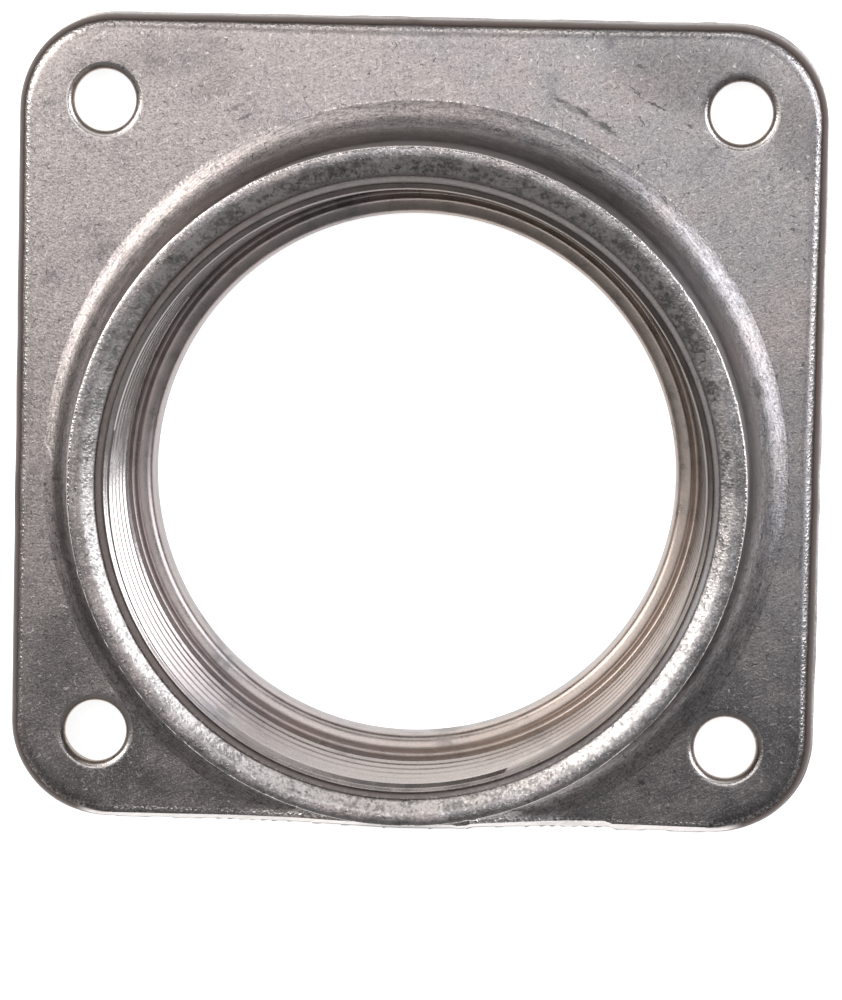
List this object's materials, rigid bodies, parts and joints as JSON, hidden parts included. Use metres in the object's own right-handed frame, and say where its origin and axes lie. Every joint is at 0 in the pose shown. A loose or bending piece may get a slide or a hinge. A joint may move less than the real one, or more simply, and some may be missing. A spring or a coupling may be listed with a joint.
{
  "type": "conduit hub",
  "caption": "Square die-cast conduit hub with corner bolt holes and an off-centre threaded collar over a smooth throat, bolted over an opening in an electrical enclosure.",
  "frame": {"origin": "middle of the bolt pattern on the flat back face, which is also the bottom middle of the bounding box", "axes": "+Z out along the bore from the back face to the collar's rim, -Y from the middle of the plate towards the off-centre collar"},
  "size_m": [0.0796, 0.0796, 0.021],
  "materials": {
    "cast_metal": "tumbled die casting, satin grey"
  },
  "bodies": {
    "root": {"hub_casting": "cast_metal"}
  },
  "joints": []
}
